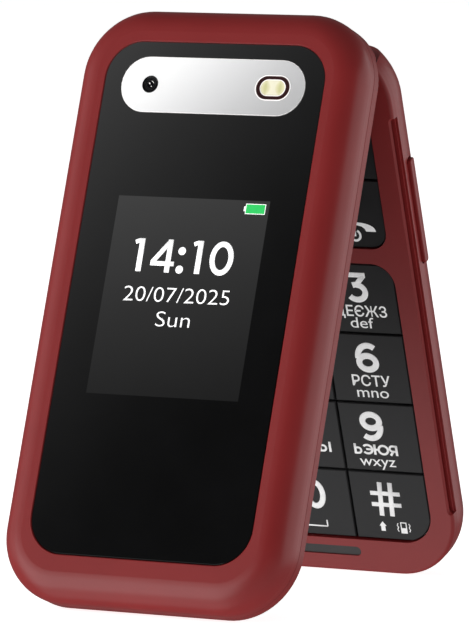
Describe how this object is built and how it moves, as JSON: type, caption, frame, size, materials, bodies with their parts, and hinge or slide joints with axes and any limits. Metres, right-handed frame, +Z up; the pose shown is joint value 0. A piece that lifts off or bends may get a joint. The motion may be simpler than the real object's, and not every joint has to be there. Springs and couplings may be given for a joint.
{
  "type": "flip phone",
  "caption": "Clamshell mobile phone, partly open and standing on the ends of both halves, with outer screen, camera plate, keypad and a knuckled hinge.",
  "frame": {"origin": "centre of the footprint, on the surface that the two free ends stand on", "axes": "+X along the hinge pin, -Y is the side of the outer screen, +Z up"},
  "size_m": [0.054, 0.0772, 0.0977],
  "materials": {
    "red_shell": "satin burgundy",
    "red_frame": "satin burgundy",
    "black_window": "gloss black",
    "silver_plate": "satin silver",
    "dark_lens": "gloss",
    "dark_ring": "gloss",
    "flash_cream": "translucent cream",
    "display": "gloss",
    "clear_window": "gloss",
    "key_plastic": "semi-gloss dark grey",
    "black_plastic": "matt black",
    "circuit_board": "solder mask green",
    "steel": "fine ground",
    "can_metal": "tinned",
    "brass_bush": "turned",
    "battery_case": "printed wrap",
    "rubber": "moulded",
    "red_rubber": "moulded",
    "silicone": "translucent",
    "amber_film": "polyimide film",
    "mesh_metal": "woven"
  },
  "bodies": {
    "base": {"base_front_frame": "red_frame", "rear_housing": "red_shell", "battery_cover": "red_shell", "battery": "battery_case", "battery_connector": "black_plastic", "main_board": "circuit_board", "shield_can": "can_metal", "keypad_mat": "silicone", "loudspeaker": "black_plastic", "speaker_mesh": "mesh_metal", "sim_holder": "can_metal", "vibration_motor": "can_metal", "antenna": "black_plastic", "usb_socket": "steel", "mic_bar": "black_plastic", "microphone": "can_metal", "side_switch": "black_plastic", "base_screws": "steel", "hinge_cartridge": "steel", "hinge_pin": "steel", "hinge_flex": "amber_film"},
    "lid": {"lid_front_cover": "red_shell", "lid_inner_frame": "red_frame", "outer_glass": "black_window", "camera_plate": "silver_plate", "camera_lens": "dark_lens", "camera_module": "black_plastic", "flash_ring": "dark_ring", "flash_lens": "flash_cream", "outer_display": "display", "inner_display": "display", "inner_window": "clear_window", "lid_board": "circuit_board", "earpiece": "black_plastic", "earpiece_mesh": "mesh_metal", "lid_magnet": "steel", "lid_bumpers": "red_rubber", "lid_screws": "steel", "hinge_shaft": "steel", "hinge_bush": "brass_bush"},
    "key_1_body": {"key_1": "key_plastic"},
    "key_2_body": {"key_2": "key_plastic"},
    "key_3_body": {"key_3": "key_plastic"},
    "key_4_body": {"key_4": "key_plastic"},
    "key_5_body": {"key_5": "key_plastic"},
    "key_6_body": {"key_6": "key_plastic"},
    "key_7_body": {"key_7": "key_plastic"},
    "key_8_body": {"key_8": "key_plastic"},
    "key_9_body": {"key_9": "key_plastic"},
    "key_star_body": {"key_star": "key_plastic"},
    "key_0_body": {"key_0": "key_plastic"},
    "key_hash_body": {"key_hash": "key_plastic"},
    "soft_key_left_body": {"soft_key_left": "key_plastic"},
    "soft_key_right_body": {"soft_key_right": "key_plastic"},
    "call_key_body": {"call_key": "key_plastic"},
    "end_key_body": {"end_key": "key_plastic"},
    "navigation_ring_body": {"navigation_ring": "key_plastic"},
    "ok_key_body": {"ok_key": "key_plastic"},
    "volume_key_body": {"volume_key": "red_shell"}
  },
  "joints": [
    {"name": "lid_hinge", "type": "hinge", "parent": "base", "child": "lid", "pos_m": [0, -0.00057, 0.09048], "axis": [-1, 0, 0], "range_deg": [-38.56, 116.44]},
    {"name": "key_1_press", "type": "slide", "parent": "base", "child": "key_1_body", "axis": [0, 0.9439, 0.3302], "range_m": [0, 0.0003], "stiffness_N_per_m": 300},
    {"name": "key_2_press", "type": "slide", "parent": "base", "child": "key_2_body", "axis": [0, 0.9439, 0.3302], "range_m": [0, 0.0003], "stiffness_N_per_m": 300},
    {"name": "key_3_press", "type": "slide", "parent": "base", "child": "key_3_body", "axis": [0, 0.9439, 0.3302], "range_m": [0, 0.0003], "stiffness_N_per_m": 300},
    {"name": "key_4_press", "type": "slide", "parent": "base", "child": "key_4_body", "axis": [0, 0.9439, 0.3302], "range_m": [0, 0.0003], "stiffness_N_per_m": 300},
    {"name": "key_5_press", "type": "slide", "parent": "base", "child": "key_5_body", "axis": [0, 0.9439, 0.3302], "range_m": [0, 0.0003], "stiffness_N_per_m": 300},
    {"name": "key_6_press", "type": "slide", "parent": "base", "child": "key_6_body", "axis": [0, 0.9439, 0.3302], "range_m": [0, 0.0003], "stiffness_N_per_m": 300},
    {"name": "key_7_press", "type": "slide", "parent": "base", "child": "key_7_body", "axis": [0, 0.9439, 0.3302], "range_m": [0, 0.0003], "stiffness_N_per_m": 300},
    {"name": "key_8_press", "type": "slide", "parent": "base", "child": "key_8_body", "axis": [0, 0.9439, 0.3302], "range_m": [0, 0.0003], "stiffness_N_per_m": 300},
    {"name": "key_9_press", "type": "slide", "parent": "base", "child": "key_9_body", "axis": [0, 0.9439, 0.3302], "range_m": [0, 0.0003], "stiffness_N_per_m": 300},
    {"name": "key_star_press", "type": "slide", "parent": "base", "child": "key_star_body", "axis": [0, 0.9439, 0.3302], "range_m": [0, 0.0003], "stiffness_N_per_m": 300},
    {"name": "key_0_press", "type": "slide", "parent": "base", "child": "key_0_body", "axis": [0, 0.9439, 0.3302], "range_m": [0, 0.0003], "stiffness_N_per_m": 300},
    {"name": "key_hash_press", "type": "slide", "parent": "base", "child": "key_hash_body", "axis": [0, 0.9439, 0.3302], "range_m": [0, 0.0003], "stiffness_N_per_m": 300},
    {"name": "soft_key_left_press", "type": "slide", "parent": "base", "child": "soft_key_left_body", "axis": [0, 0.9439, 0.3302], "range_m": [0, 0.0003], "stiffness_N_per_m": 300},
    {"name": "soft_key_right_press", "type": "slide", "parent": "base", "child": "soft_key_right_body", "axis": [0, 0.9439, 0.3302], "range_m": [0, 0.0003], "stiffness_N_per_m": 300},
    {"name": "call_key_press", "type": "slide", "parent": "base", "child": "call_key_body", "axis": [0, 0.9439, 0.3302], "range_m": [0, 0.0003], "stiffness_N_per_m": 300},
    {"name": "end_key_press", "type": "slide", "parent": "base", "child": "end_key_body", "axis": [0, 0.9439, 0.3302], "range_m": [0, 0.0003], "stiffness_N_per_m": 300},
    {"name": "navigation_ring_press", "type": "slide", "parent": "base", "child": "navigation_ring_body", "axis": [0, 0.9439, 0.3302], "range_m": [0, 0.0003], "stiffness_N_per_m": 300},
    {"name": "ok_key_press", "type": "slide", "parent": "base", "child": "ok_key_body", "axis": [0, 0.9439, 0.3302], "range_m": [0, 0.0003], "stiffness_N_per_m": 300},
    {"name": "volume_key_press", "type": "slide", "parent": "base", "child": "volume_key_body", "axis": [-1, 0, 0], "range_m": [0, 0.00035], "stiffness_N_per_m": 300}
  ]
}
